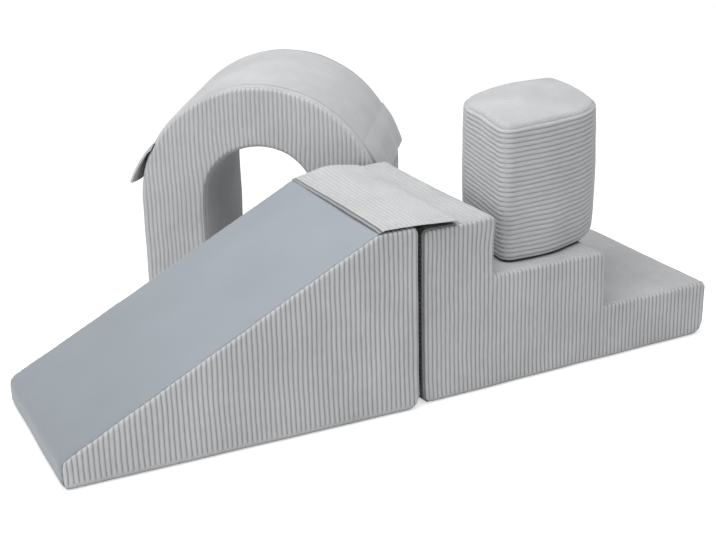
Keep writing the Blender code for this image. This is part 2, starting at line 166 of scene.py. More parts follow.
# zips: one low on the far side of each block
zipSizes = {
    "tapeWidth": 0.024, "tapeThickness": 0.0008, "teethWidth": 0.006, "teethHeight": 0.0012,
    "tapeOut": 0.0003, "teethOut": 0.0014,    # how far they stand out of the cloth
    "turn": 0.0020, "wire": 0.00042,    # the coil's turns
    "sliderFromEnd": 0.014,
    "bedPast": 0.016, "bedPastFade": 0.014, "bedOver": 0.015, "bedOverFade": 0.013,    # flat cloth round a zip
    "bedDepth": 0.0004, "bedPile": 0.6,
}
zips = {
    "slide": {"centre": (-0.39962, -0.14281, 0.045), "along": (1, 0), "half": 0.330},
    "stairs": {"centre": (0.38309, -0.11517, 0.045), "along": (0.999263, 0.038388), "half": 0.330},
    "arch": {"centre": (-0.23986, 0.39385, 0.045), "along": (0.5373, 0.843391), "half": 0.165},
    "stool": {"centre": (0.47844, -0.16609, 0.31197), "along": (0.981959, 0.189095), "half": 0.0646},
}


def zipSides(one):
    side = np.array((*one["along"], 0))
    return side, np.array((-side[1], side[0], 0))


# 1 where a zip is sewn on and the cloth lies flat, 0 elsewhere
def zipBed(world):
    share = np.zeros(world.shape[:-1])
    for one in zips.values():
        side, away = zipSides(one)
        apart = world - np.array(one["centre"])
        flat = smooth((one["half"] + zipSizes["bedPast"] - np.abs(apart @ side)) / zipSizes["bedPastFade"])
        over = zipSizes["tapeWidth"] / 2 + zipSizes["bedOver"] - np.abs(apart[..., 2])
        flat = flat * smooth(over / zipSizes["bedOverFade"])
        share = np.maximum(share, flat * (np.abs(apart @ away) < 0.012))    # only on the zip's own side
    return share


# in a block's own directions a runs along it, b up its outline and h into it; a lying block has h up instead
def placeMatrix(block):
    return np.array(Matrix.Translation(block["place"]) @ Matrix.Rotation(math.radians(block["turn"]), 4, "Z"))


def turned(block, a, b, h):
    local = np.stack((a, b, h) if block.get("lying") else (a, h, b), -1)
    return local @ placeMatrix(block)[:3, :3].T


def toWorld(block, a, b, h):
    return turned(block, a, b, h) + placeMatrix(block)[:3, 3]


# the rounded rim of a block, seen from one of its two faces, with the seam at some angle round it
def rimShape(radius, gap, seamTurn):
    lean = np.arcsin(np.clip((radius - gap) / radius, 0, 1))
    seamGap = np.where(gap < radius, radius * (seamTurn - lean), radius * seamTurn + gap - radius)
    return lean, radius * (1 - np.cos(lean)), np.maximum(seamGap, 0)


def seamInset(block, end):
    return block["rim"][end] * (1 - math.sin(math.radians(block["seamTurn"])))


# how far the stuffing lets a point of the cover move
def soften(block, a, b, h, gap, out):
    toNear, toFar = h, block["width"] - h
    shift = cover["edgeDrop"] * np.exp(-np.minimum(toNear, toFar) / cover["dropReach"])
    shift = shift * np.exp(-gap / cover["dropWidth"])
    a = a - out[..., 0] * shift
    b = b - out[..., 1] * shift
    inward = cover["edgeDrop"] * np.exp(-gap / cover["dropReach"])
    h = h + inward * np.exp(-toNear / cover["dropWidth"]) - inward * np.exp(-toFar / cover["dropWidth"])
    loose, size, seed = cover["looseness"], cover["looseSize"], block["seed"]
    da, db, dh = (loose * waves(seed + k, size, a, b, h) for k in range(3))
    if block.get("lying"):
        dh = dh * smooth(h / cover["footing"])
    else:
        db = db * smooth(b / cover["footing"])
    return block["settle"](a + da, b + db, h + dh)


def ribShape(phase):
    return np.abs(np.sin(math.pi * phase)) ** cover["ribSharpness"]


# mesh lines between two seams
def ribLines(low, high):
    return np.arange(math.ceil(low / spacing) + 1, math.floor(high / spacing)) * spacing


def gridFaces(index):
    return np.stack((index[:-1, :-1], index[1:, :-1], index[1:, 1:], index[:-1, 1:]), -1).reshape(-1, 4)


# pile and cloth are read by the materials: how deep in a groove, which the corduroy draws darker as painted
# shade, and where on the flat cloth
def meshFrom(name, grid, faces, sample, normal, pile, cloth):
    points = grid.reshape(-1, 3)
    p = points[faces[sample]]
    if np.cross(p[2] - p[0], p[3] - p[1]) @ normal < 0:
        faces = faces[:, ::-1]
    mesh = bpy.data.meshes.new(name)
    mesh.from_pydata(points.tolist(), [], faces.tolist())
    layers = ("pile", "FLOAT", "value", pile), ("cloth", "FLOAT_VECTOR", "vector", cloth)
    for label, kind, field, values in layers:
        layer = mesh.attributes.new(label, kind, "POINT")
        layer.data.foreach_set(field, values.astype(np.float32).ravel())
    mesh.shade_smooth()
    return mesh


def panelMesh(name, grid, normal, pile, cloth):
    rows, columns = grid.shape[:2]
    faces = gridFaces(np.arange(rows * columns).reshape(rows, columns))
    middle = len(faces) // 2
    return meshFrom(name, grid, faces, middle, normal.reshape(-1, 3)[faces[middle][0]], pile, cloth)


def clothPlace(along, across):
    return np.stack((along, across, across * 0), -1)


def newObject(name, data):
    thing = bpy.data.objects.new(name, data)
    bpy.context.scene.collection.objects.link(thing)
    return thing


def joined(name, meshes):
    parts = [newObject(name, mesh) for mesh in meshes]
    with bpy.context.temp_override(active_object=parts[0], selected_editable_objects=parts):
        bpy.ops.object.join()
    mesh = parts[0].data
    bpy.data.objects.remove(parts[0])
    mesh.name = name
    return mesh


# a piece rides on its body, or, where it has a hinge, stays where it was made with its transform baked in; it
# takes the place of the nodes given, else of the one with its own name
def addPiece(name, mesh, finish, body, nodes=None, hinge=None):
    piece = newObject(name, mesh)
    mesh.materials.append(finishes[finish])
    if hinge:
        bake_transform(piece)
    else:
        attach(piece, body)
    ownName = "".join("_" + letter.lower() if letter.isupper() else letter for letter in name)
    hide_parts(*(nodes or [ownName]))
    return piece


def dressed(block, a, b, h, gap, out, facing, seamGap, alongRib, acrossRib, ribs, offset):
    cut = toWorld(block, a, b, h)
    bed = zipBed(cut)
    rise = ribShape(acrossRib / cover["pitch"])
    fade = smooth(seamGap / cover["ribEnd"]) * ribs
    a, b, h = soften(block, a, b, h, gap, out)
    depth = cover["ribDepth"] * (1 + cover["ribUneven"] * waves(block["seed"] + 7, 0.05, alongRib, acrossRib))
    lift = -depth * (1 - rise) * fade
    lift = lift - depth * cover["plainLevel"] * (1 - fade) * (np.max(ribs) > 0)
    lift = lift - block.get("seamDepth", cover["seamDepth"]) * bell(seamGap, cover["seamWidth"]) + offset
    normal = turned(block, *facing)
    grid = toWorld(block, a, b, h) + normal * lift[..., None]
    grid = grid + ((cut - normal * zipSizes["bedDepth"]) - grid) * bed[..., None]
    pile = rise * fade + (1 - fade) * cover["plainPile"]
    pile = pile + (zipSizes["bedPile"] - pile) * bed
    return grid, normal, pile, clothPlace(alongRib, acrossRib)


def turnBy(angle):
    return np.array(((math.cos(angle), math.sin(angle)), (-math.sin(angle), math.cos(angle))))


# where a flat end begins and stops when its ribs are turned by some angle
def wholeSpan(block, end, angle=0.0):
    edge = (block["path"]["points"] - block["path"]["normals"] * seamInset(block, end)) @ turnBy(angle).T
    return [(edge[:, 0].min() + 0.0001, edge[:, 0].max() - 0.0001)]


# a flat end of a block, its ribs along b; spans are the stretches of a with one top and one bottom
def capPanel(block, name, end, spans, finish="corduroy", nodes=None, ribs=1.0, angle=0.0, rows=64, pinned=()):
    path, turn = block["path"], turnBy(angle)
    edge = (path["points"] - path["normals"] * seamInset(block, end)) @ turn.T
    meshes = []
    for low, high in spans:
        lines = np.concatenate(((low + 0.00002,), ribLines(low, high), (high - 0.00002,)))
        ends = []
        for line in lines:
            side = edge[:, 0] < line
            hits = np.nonzero(side[:-1] != side[1:])[0]
            share = (line - edge[hits, 0]) / (edge[hits + 1, 0] - edge[hits, 0])
            crossing = edge[hits, 1] + share * (edge[hits + 1, 1] - edge[hits, 1])
            ends.append((crossing.min(), crossing.max()))
        bottom, top = np.array(ends).T
        share = closerAtEnds(rows)
        for pin in pinned:    # closer rows where a step's inner corner meets this stretch
            at = (pin - bottom.mean()) / (top.mean() - bottom.mean())
            if 0.05 < at < 0.95:
                share = np.sort(np.concatenate((share, at + np.linspace(-0.05, 0.05, 13))))
        u = np.repeat(lines[:, None], len(share), 1)
        v = bottom[:, None] + (top - bottom)[:, None] * share[None]
        spots = np.stack((u, v), -1) @ turn
        gap, out = insideEdge(path, spots)
        lean, sink, seamGap = rimShape(block["rim"][end], gap, math.radians(block["seamTurn"]))
        stray = cover["wander"] * waves(block["seed"] + 5, 0.12, u, v * 0.6) * smooth(seamGap / 0.02)
        spots = spots + stray[..., None] * turn[0]
        strength = ribs * smooth((spots[..., 1] - block["hem"]) / 0.004) if "hem" in block else ribs
        offset = block.get("full", 0) * smooth(seamGap / cover["fullReach"])
        h, sign = (block["width"] - sink, 1) if end == "far" else (sink, -1)
        facing = out[..., 0] * np.sin(lean), out[..., 1] * np.sin(lean), sign * np.cos(lean)
        meshes.append(panelMesh(name, *dressed(block, spots[..., 0], spots[..., 1], h, gap, out, facing,
                                               seamGap, v, u, strength, offset)))
    mesh = joined(name, meshes) if len(meshes) > 1 else meshes[0]
    return addPiece(name, mesh, finish, block["body"], nodes)


# a band round a block between two places on its path; its ribs run across the block or along the path
def bandPanel(block, name, start, end, run, finish="corduroy", ribs=1.0, bound=False, step=0.007, full=0.0):
    path, depth = block["path"], block["width"]
    nearRim, farRim = block["rim"]["near"], block["rim"]["far"]
    past = math.radians(90 - block["seamTurn"])
    low, high = nearRim * (1 - math.sin(past)), depth - farRim * (1 - math.sin(past))
    if run == "across":
        along = np.concatenate(((start,), ribLines(start, end), (end,)))
        h = low + (high - low) * closerAtEnds(40)
    else:
        along = np.linspace(start, end, max(24, math.ceil((end - start) / step)) + 1)
        h = np.concatenate(((low,), ribLines(low, high), (high,)))
    s, h = np.meshgrid(along, h, indexing="ij")
    spot, out = onPath(path, s)
    # the rim shapes measure from the end faces, and a band leans the other way
    leanNear, sinkNear, seamNear = rimShape(nearRim, h, past)
    leanFar, sinkFar, seamFar = rimShape(farRim, depth - h, past)
    nearHalf = h < depth / 2
    lean, sink = np.where(nearHalf, leanNear, leanFar), np.where(nearHalf, sinkNear, sinkFar)
    tilt = np.where(nearHalf, -1, 1) * np.sin(lean)
    seamGap = np.minimum(seamNear, seamFar)
    ends = np.minimum(seamGap, np.minimum(s - start, end - s))
    a, b = spot[..., 0] - out[..., 0] * sink, spot[..., 1] - out[..., 1] * sink
    alongRib, acrossRib = (h, s) if run == "across" else (s, h)
    if run == "along":
        h = h + cover["wander"] * waves(block["seed"] + 9, 0.12, s, h) * smooth(ends / 0.02)
    strength = np.full_like(s, ribs) * (1 - block.get("calmTop", 0) * smooth((out[..., 1] - 0.7) / 0.25))
    strips = block.get("plainStrips", ())
    for centre, halfWidth in strips:
        away = np.abs((s - centre + path["length"] / 2) % path["length"] - path["length"] / 2)
        strength = strength * (1 - 0.8 * smooth((halfWidth + 0.004 - away) / 0.012))
    if strips:    # such a band closes on itself, with a plain strip over the join
        ends = seamGap
    offset = full * smooth(ends / cover["fullReach"])
    shade = np.zeros_like(s)
    for edgeGap in (seamNear, seamFar) if bound else ():
        width = block.get("bindingWidth", cover["bindingWidth"])
        strength = strength * smooth((edgeGap - width) / 0.002)
        inside = smooth((edgeGap - 0.0015) / 0.0015) * smooth((width - edgeGap) / 0.0015)
        crease = bell(edgeGap - width - 0.0004, block.get("creaseWidth", cover["creaseWidth"]))
        offset = offset + cover["bindingRise"] * inside - cover["creaseDepth"] * crease
        shade = shade + block.get("creaseShade", cover["creaseShade"]) * crease
    ripple = np.sin(2 * math.pi * s / cover["puckerLength"] + 2 * waves(block["seed"] + 3, 0.05, s))
    ripple = ripple * np.exp(-seamGap / cover["puckerReach"]) * block.get("puckerShare", 1)
    offset = offset + cover["pucker"] * ripple
    facing = out[..., 0] * np.cos(lean), out[..., 1] * np.cos(lean), tilt
    grid, normal, pile, cloth = dressed(block, a, b, h, np.zeros_like(s), out, facing,
                                        ends, alongRib, acrossRib, strength, offset)
    mesh = panelMesh(name, grid, normal, pile - shade, cloth)
    return addPiece(name, mesh, finish, block["body"])


# each socket of a node takes a plain value or another node's output
def fill(tree, node, sockets):
    for socket, value in sockets.items():
        if isinstance(value, bpy.types.NodeSocket):
            tree.links.new(value, node.inputs[socket])
        else:
            node.inputs[socket].default_value = value
    return node


def addNode(tree, kind, sockets, operation=None):
    node = tree.nodes.new("ShaderNode" + kind)
    if operation:
        node.operation = operation
    return fill(tree, node, sockets)


def newMaterial(name):
    material = bpy.data.materials.new(name)
    material.use_nodes = True
    return material, material.node_tree, material.node_tree.nodes["Principled BSDF"]


def objectPlace(tree):
    return addNode(tree, "TexCoord", {}).outputs["Object"]


def pointValue(tree, label):
    node = addNode(tree, "Attribute", {})
    node.attribute_name = label
    return node


def noise(tree, place, scale, detail, distortion=0.0):
    sockets = {"Vector": place, "Scale": scale, "Detail": detail, "Distortion": distortion}
    return addNode(tree, "TexNoise", sockets).outputs["Fac"]


def cells(tree, scale):
    return addNode(tree, "TexVoronoi", {"Vector": objectPlace(tree), "Scale": scale}).outputs["Distance"]


def added(tree, first, second):
    return addNode(tree, "Math", {0: first, 1: second}, "ADD").outputs[0]


def ranged(tree, value, low, high, fromLow=0.0, fromHigh=1.0):
    sockets = {"Value": value, "From Min": fromLow, "From Max": fromHigh, "To Min": low, "To Max": high}
    return addNode(tree, "MapRange", sockets).outputs["Result"]


def scaled(tree, vector, factor):
    return addNode(tree, "VectorMath", {0: vector, "Scale": factor}, "SCALE").outputs[0]


def stretched(tree, vector, factors):
    return addNode(tree, "VectorMath", {0: vector, 1: factors}, "MULTIPLY").outputs[0]


# a colour by a value; stops are a place, a colour and a factor on it
def ramp(tree, value, *stops):
    node = addNode(tree, "ValToRGB", {"Fac": value})
    elements = node.color_ramp.elements
    elements.remove(elements[1])
    for index, (place, color, factor) in enumerate(stops):
        element = elements.new(place) if index else elements[0]
        element.position = place
        element.color = (*[c * factor for c in color], 1)
    return node.outputs["Color"]


def bump(tree, height, strength, distance):
    sockets = {"Height": height, "Strength": strength, "Distance": distance}
    return addNode(tree, "Bump", sockets).outputs["Normal"]


# cloth in narrow gaps, where light hardly reaches, is drawn darker still
def darkerCrevices(tree, color):
    crevice = addNode(tree, "AmbientOcclusion", {"Distance": 0.045})
    crevice.samples = 5
    return scaled(tree, color, ranged(tree, crevice.outputs["AO"], 0.06, 1.0, 0.05, 0.5))


def corduroyMaterial(name, crest, groove, streak):
    material, tree, shader = newMaterial(name)
    cloth = pointValue(tree, "cloth").outputs["Vector"]
    streaks = noise(tree, stretched(tree, cloth, (40, 420, 1)), 1.0, 3)
    fibres = noise(tree, stretched(tree, cloth, (620, 2100, 1)), 1.0, 2, 0.6)
    place = objectPlace(tree)
    patches = noise(tree, place, 7, 3)
    fuzz = noise(tree, place, 1400, 2)
    # painted shade: grooves drawn darker than crests, and darker still below 0 for creases and stitch lines
    stops = (0, groove, 0.45), (0.05, groove, 1), (0.9, crest, 1)
    color = ramp(tree, pointValue(tree, "pile").outputs["Fac"], *stops)
    uneven = added(tree, added(tree, streaks, patches), fibres)
    color = scaled(tree, color, ranged(tree, uneven, 1 - streak, 1 + streak, 1.0, 2.0))
    fill(tree, shader, {
        "Base Color": darkerCrevices(tree, color), "Normal": bump(tree, added(tree, fuzz, fibres), 0.7, 0.0009),
        "Roughness": 0.92, "Sheen Weight": 0.25, "Sheen Roughness": 0.45, "Specular IOR Level": 0.2})
    return material


# painted shade towards the slide's toe and painted light towards its top; the last argument holds the factor at
# the toe, the one at the top, and where each is reached
def vinylMaterial(name, color, paintedShade):
    material, tree, shader = newMaterial(name)
    place = objectPlace(tree)
    cloud = noise(tree, place, 6, 4)
    tone = ramp(tree, cloud, (0.3, color, 0.96), (0.7, color, 1.04))
    parts = addNode(tree, "SeparateXYZ", {0: place})
    # painted shade and painted light along the slope in x
    tone = scaled(tree, tone, ranged(tree, parts.outputs["X"], *paintedShade))
    fill(tree, shader, {
        "Base Color": tone, "Normal": bump(tree, cells(tree, 700), 0.12, 0.0003),
        "Roughness": ranged(tree, cloud, 0.40, 0.54), "Specular IOR Level": 0.35})
    return material


def plainClothMaterial(name, color, roughness, scale, depth):
    material, tree, shader = newMaterial(name)
    weave = cells(tree, scale)
    fill(tree, shader, {
        "Base Color": ramp(tree, weave, (0, color, 0.8), (1, color, 1.15)),
        "Normal": bump(tree, weave, 0.5, depth), "Roughness": roughness})
    return material


def metalMaterial(name, color):
    material, tree, shader = newMaterial(name)
    brush = noise(tree, objectPlace(tree), 900, 2)
    fill(tree, shader, {
        "Base Color": (*color, 1), "Metallic": 0.95, "Roughness": ranged(tree, brush, 0.25, 0.45)})
    return material


finishes = {
    "corduroy": corduroyMaterial("light grey corduroy", (0.685, 0.693, 0.705), (0.41, 0.415, 0.423), 0.16),
    # the chute: its colour, then the painted shade at its toe, the painted light at its top, and where each is
    # reached in x
    "chute_vinyl": vinylMaterial("blue grey coated cloth", (0.345, 0.380, 0.418), (0.87, 1.06, -0.79, -0.10)),
    "grip_cloth": plainClothMaterial("dark dotted grip cloth", (0.07, 0.07, 0.08), 0.8, 160, 0.0008),
    "hook_tape": plainClothMaterial("hook tape", (0.42, 0.43, 0.44), 0.75, 900, 0.0006),
    "loop_tape": plainClothMaterial("loop tape", (0.48, 0.49, 0.50), 0.95, 1200, 0.0006),
    "zip_tape": plainClothMaterial("woven zip tape", (0.42, 0.43, 0.44), 0.85, 1500, 0.0002),
    "zip_teeth": plainClothMaterial("nylon teeth", (0.33, 0.34, 0.35), 0.45, 1200, 0.0003),
    "zip_metal": metalMaterial("plated zip slider", (0.62, 0.62, 0.63)),
}
print("materials made")

# wedge slide
slide = {
    "place": (-0.78962, -0.59281, 0), "turn": 0, "body": "slide", "seed": 11,
    "length": 0.78, "width": 0.45, "height": 0.415, "toe": 0.060, "landing": 0.09,
    "rim": {"near": 0.008, "far": 0.008}, "seamTurn": 68, "hem": 0.011,
    "floorRadius": 0.016, "heelRadius": 0.035, "toeRadius": 0.024, "ridgeRadius": 0.050,
    "full": cover["fullness"], "chuteFull": 0.002,
    "toeOut": 0.003, "heelOut": 0.0048, "farOut": 0.0035, "footOut": 0.006,    # where the stuffing pushes out
}


def slideStuffing(a, b, h):
    near = 1 - h / slide["width"]
    a = a - slide["toeOut"] * smooth((0.25 - a) / 0.25) + slide["heelOut"] * near * smooth((a - 0.5) / 0.25)
    foot = slide["footOut"] * np.exp(-b / 0.04) * near
    return a, b, h + slide["farOut"] * smooth(h / slide["width"]) - foot


slide["settle"] = slideStuffing
slide["path"] = roundedPath([
    (0, 0, slide["floorRadius"]),
    (slide["length"], 0, slide["heelRadius"]),
    (slide["length"], slide["height"], slide["floorRadius"]),
    (slide["length"] - slide["landing"], slide["height"], slide["ridgeRadius"]),
    (0, slide["toe"], slide["toeRadius"]),
])
marks, inset = slide["path"]["corners"], seamInset(slide, "near")
spans = [(inset, slide["length"] - inset)]
capPanel(slide, "slideNearSide", "near", spans, nodes=["slide_near_side", "slide_foam_core"])
capPanel(slide, "slideFarSide", "far", spans)
bandPanel(slide, "slideGripBase", 0, marks[1], "across", "grip_cloth", ribs=0)
bandPanel(slide, "slideBackPanel", marks[1], marks[3], "across")
bandPanel(slide, "slideChute", marks[3], slide["path"]["length"], "across", "chute_vinyl",
          ribs=0, full=slide["chuteFull"])
print("slide dressed")

# stairs
stairs = {
    "place": (0.01066, -0.57981, 0), "turn": 2.2, "body": "stairs", "seed": 31,
    "width": 0.45, "height": 0.40, "steps": 3, "platform": 0.18, "tread": 0.30,
    "rim": {"near": 0.008, "far": 0.008}, "seamTurn": 68, "hem": 0.007,
    "floorRadius": 0.016, "nosingRadius": 0.017, "innerRadius": 0.006, "endRadius": 0.034, "backRadius": 0.011,
    "full": cover["fullness"], "calmTop": 0.75,    # share by which ribs are flatter on the treads
    "nosingDroop": 0.002, "platformSwell": 0.018, "platformOut": 0.0052, "platformUp": 0.0045,
    "endOut": 0.0045, "endUp": 0.0025, "treadUp": 0.004, "farOut": 0.003, "footOut": 0.007, "footLift": 0.006,
}
stepRise = stairs["height"] / stairs["steps"]
stairsLength = stairs["platform"] + 2 * stairs["tread"]
nosings = [(stairsLength, stepRise), (stairsLength - stairs["tread"], 2 * stepRise),
           (stairs["platform"], 3 * stepRise)]


def stairsStuffing(a, b, h):
    across = h / stairs["width"]
    for x, z in nosings:
        down = stairs["nosingDroop"] * np.exp(-np.abs(a - x) / 0.05) * bell(b - z, 0.04)
        b = b - down * (a < x + 0.02)
    swell = smooth((0.18 - a) / 0.03) * smooth((a - 0.04) / 0.04) * across ** 2 * smooth((b - 0.33) / 0.05)
    b = b + stairs["platformSwell"] * swell
    fuller = smooth((a - 0.09) / 0.08) * smooth((b - 0.33) / 0.05) * (1 - 0.5 * across)
    a, b = a + stairs["platformOut"] * fuller, b + stairs["platformUp"] * fuller
    end = np.exp(-np.hypot(a - stairsLength, b - stepRise) / 0.06)
    a, b = a + stairs["endOut"] * end, b + stairs["endUp"] * end
    # the near foot beside the slide stands off the floor a little
    fromFoot = np.maximum(a, 0) / 0.012 + np.maximum(h, 0) / 0.018 + np.maximum(b, 0) / 0.020
    b = b + stairs["footLift"] * np.exp(-fromFoot)
    toFar = smooth(across)
    b = b + stairs["treadUp"] * toFar * smooth((a - 0.48) / 0.06) * smooth(b / 0.1)
    foot = stairs["footOut"] * np.exp(-b / 0.04) * np.exp(-a / 0.6) * (1 - toFar)
    return a, b, h + stairs["farOut"] * toFar - foot


stairs["settle"] = stairsStuffing
corners = [(0, 0, stairs["backRadius"]), (stairsLength, 0, stairs["endRadius"])]
for x, z in nosings:
    corners.append((x, z, stairs["nosingRadius"]))
    if x > stairs["platform"]:
        corners.append((x - stairs["tread"], z, stairs["innerRadius"]))
corners.append((0, stairs["height"], stairs["floorRadius"]))
stairs["path"] = roundedPath(corners)
marks, inset = stairs["path"]["corners"], seamInset(stairs, "near")
cuts = [inset] + [stairs["platform"] + k * stairs["tread"] - inset for k in range(3)]
spans, pins = list(zip(cuts[:-1], cuts[1:])), (stepRise, 2 * stepRise)
capPanel(stairs, "stairsNearSide", "near", spans, nodes=["stairs_near_side", "stairs_foam_core"], pinned=pins)
capPanel(stairs, "stairsFarSide", "far", spans, pinned=pins)
bandPanel(stairs, "stairsGripBase", 0, marks[1], "across", "grip_cloth", ribs=0)
bandPanel(stairs, "stairsStepPanel", marks[1], stairs["path"]["length"], "across", bound=True)
print("stairs dressed")

# tunnel arch
arch = {
    "place": (-0.11068, 0.04478, 0), "turn": -32.5, "body": "arch", "seed": 51,
    "width": 0.45, "radius": 0.2965, "height": 0.594, "openingRadius": 0.1445, "openingHeight": 0.452,
    "rim": {"near": 0.008, "far": 0.008}, "seamTurn": 68, "hem": 0.007, "legRadius": 0.016,
    "bindingWidth": 0.013, "creaseWidth": 0.0026, "creaseShade": 0.9,
    "full": cover["fullness"], "liningFull": 2 * cover["fullness"], "bandFull": 2.5 * cover["fullness"],
    "endRibs": 0.78, "liningRibs": 1.3, "bandRibs": 0.7,
    "shoulderOut": 0.002, "tunnelIn": 0.0052, "tunnelInFar": 0.0016,    # where the stuffing pushes out
}
outer, inner = arch["radius"], arch["openingRadius"]


def archStuffing(a, b, h):
    a = a - arch["shoulderOut"] * smooth((-a - 0.12) / 0.1) * smooth((b - 0.3) / 0.12)
    up = np.maximum(b - arch["openingHeight"] + inner, 0)
    fromAxis = np.hypot(a, up) + 1e-9
    closer = arch["tunnelIn"] - arch["tunnelInFar"] * h / arch["width"]
    closer = closer * smooth((inner + 0.05 - fromAxis) / 0.05) / fromAxis
    return a - a * closer, b - up * closer, h


arch["settle"] = archStuffing
leg = arch["legRadius"]
arch["path"] = roundedPath([
    (-outer, 0, leg), (-inner, 0, leg),
    (-inner, arch["openingHeight"], inner - 0.0001), (inner, arch["openingHeight"], inner - 0.0001),
    (inner, 0, leg), (outer, 0, leg),
    (outer, arch["height"], outer - 0.0001), (-outer, arch["height"], outer - 0.0001),
])
marks, inset = arch["path"]["corners"], seamInset(arch, "near")
spans = [(-outer + inset, -inner - inset), (-inner - inset, inner + inset), (inner + inset, outer - inset)]
capPanel(arch, "archFrontPanel", "near", spans, nodes=["arch_front_panel", "arch_foam_core"],
         ribs=arch["endRibs"], rows=80)
capPanel(arch, "archBackPanel", "far", spans, ribs=arch["endRibs"], rows=80)
bandPanel(arch, "archLeftGripBase", 0, marks[1], "across", "grip_cloth", ribs=0)
bandPanel(arch, "archTunnelLining", marks[1], marks[4], "along",
          ribs=arch["liningRibs"], full=arch["liningFull"])
bandPanel(arch, "archRightGripBase", marks[4], marks[5], "across", "grip_cloth", ribs=0)
bandPanel(arch, "archOuterBand", marks[5], arch["path"]["length"], "along",
          ribs=arch["bandRibs"], bound=True, full=arch["bandFull"])
print("arch dressed")

# stool: a rhombus in plan, with two tight corners and two wide ones
stool = {
    "place": (0.23415, -0.52319, 0.26697), "turn": 10.9, "body": "stool", "seed": 71, "lying": True,
    "width": 0.315, "side": 0.324, "corner": 70, "nearTight": 0.021, "farTight": 0.030, "round": 0.160,
    "rim": {"near": 0.008, "far": 0.020}, "seamTurn": 45, "seamDepth": 0.0005, "puckerShare": 0.3,
    "topRibs": 0.3, "topRibTurn": 14, "sideRibs": 0.88,
    # seams up the four corners: half widths of their plain strips, and how far each lies past its corner
    "seamHalves": (0.004, 0.020, 0.006, 0.020), "seamsPast": (0, 0, 0, 0.066),
    "bulge": 0.0042, "dome": 0.019, "domeHalf": 0.115, "domeDrop": 0.0025,
    "nearFull": 0.011, "nearFullLow": 0.013, "rightOut": 0.003,
}
stoolLean = stool["side"] * math.cos(math.radians(stool["corner"]))
stoolReach = stool["side"] * math.sin(math.radians(stool["corner"]))


def stoolStuffing(a, b, h):
    middleA, middleB = (stool["side"] + stoolLean) / 2, stoolReach / 2
    out = np.sin(math.pi * np.clip(h / stool["width"], 0, 1)) * stool["bulge"] / 0.2
    a, b = a + (a - middleA) * (out - 0.008) + 0.0015, b + (b - middleB) * (out - 0.008)
    low = 1 - np.clip(h / stool["width"], 0, 1)
    near = bell(a - 0.13, 0.10) * smooth((0.10 - b) / 0.10)
    b = b - (stool["nearFull"] + stool["nearFullLow"] * low) * near
    a = a + stool["rightOut"] * smooth((a - 0.25) / 0.1)
    # a low roof along the crease from the near corner to the far one
    ridge = unit(np.array((stool["side"] + stoolLean, stoolReach)))
    aside = np.abs((a - middleA) * -ridge[1] + (b - middleB) * ridge[0])
    ahead = np.abs((a - middleA) * ridge[0] + (b - middleB) * ridge[1])
    slope = (stool["domeHalf"] - np.hypot(aside, 0.006) + 0.006) / stool["domeHalf"]
    roof = stool["dome"] * np.clip(slope, 0, 1) * smooth((0.25 - ahead) / 0.2) - stool["domeDrop"]
    return a, b, h + roof * smooth((h - stool["width"] + 0.03) / 0.03)


stool["settle"] = stoolStuffing
stool["path"] = roundedPath([
    (0, 0, stool["nearTight"]), (stool["side"], 0, stool["round"]),
    (stool["side"] + stoolLean, stoolReach, stool["farTight"]), (stoolLean, stoolReach, stool["round"]),
])
seams = zip(stool["path"]["corners"], stool["seamsPast"], stool["seamHalves"])
stool["plainStrips"] = [(corner + past, half) for corner, past, half in seams]
topTurn = math.radians(stool["corner"] / 2 - stool["topRibTurn"])
capPanel(stool, "stoolTopPanel", "far", wholeSpan(stool, "far", topTurn),
         nodes=["stool_top_panel", "stool_foam_core"], angle=topTurn, ribs=stool["topRibs"])
capPanel(stool, "stoolGripBase", "near", wholeSpan(stool, "near"), "grip_cloth", ribs=0)
bandPanel(stool, "stoolSideBand", 0, stool["path"]["length"], "along",
          ribs=stool["sideRibs"], step=0.005, full=cover["fullness"])
print("stool dressed")


# thin sheets: a closed cloth with ribs on its upper face
def addSheet(name, top, normal, thickness, pile, cloth, finish, body, nodes=None, hinge=None):
    under = top - normal * thickness[..., None]
    # roll both faces into one closed skin, with the two rims between them
    grid = np.concatenate((top, under[:, ::-1]), 1)
    rows, columns = grid.shape[:2]
    index = np.arange(rows * columns).reshape(rows, columns)
    faces = gridFaces(np.concatenate((index, index[:, :1]), 1))
    ends = []
    for row, flip in ((0, False), (rows - 1, True)):
        line = index[row]
        for k in range(columns // 2 - 1):
            quad = [line[k], line[k + 1], line[columns - 2 - k], line[columns - 1 - k]]
            ends.append(quad[::-1] if flip else quad)
    faces = np.concatenate((faces, np.array(ends)))
    pile = np.concatenate((pile, np.full_like(pile, 0.8)[:, ::-1]), 1)
    cloth = np.concatenate((cloth, cloth[:, ::-1]), 1)
    mesh = meshFrom(name, grid, faces, 0, normal[0, 0], pile, cloth)
    mesh.set_sharp_from_angle(angle=math.radians(60))
    return addPiece(name, mesh, finish, body, nodes, hinge)


def gridNormals(grid, hint):
    normal = unit(np.cross(np.gradient(grid, axis=0), np.gradient(grid, axis=1)))
    return normal if (normal[len(normal) // 2, 2] @ np.array(hint)) > 0 else -normal


# ribbed cloth's mesh lines, with one more close before its end
def sheetLines(length, last):
    return np.concatenate((np.arange(0, length - 0.001, spacing), (length - last, length)))


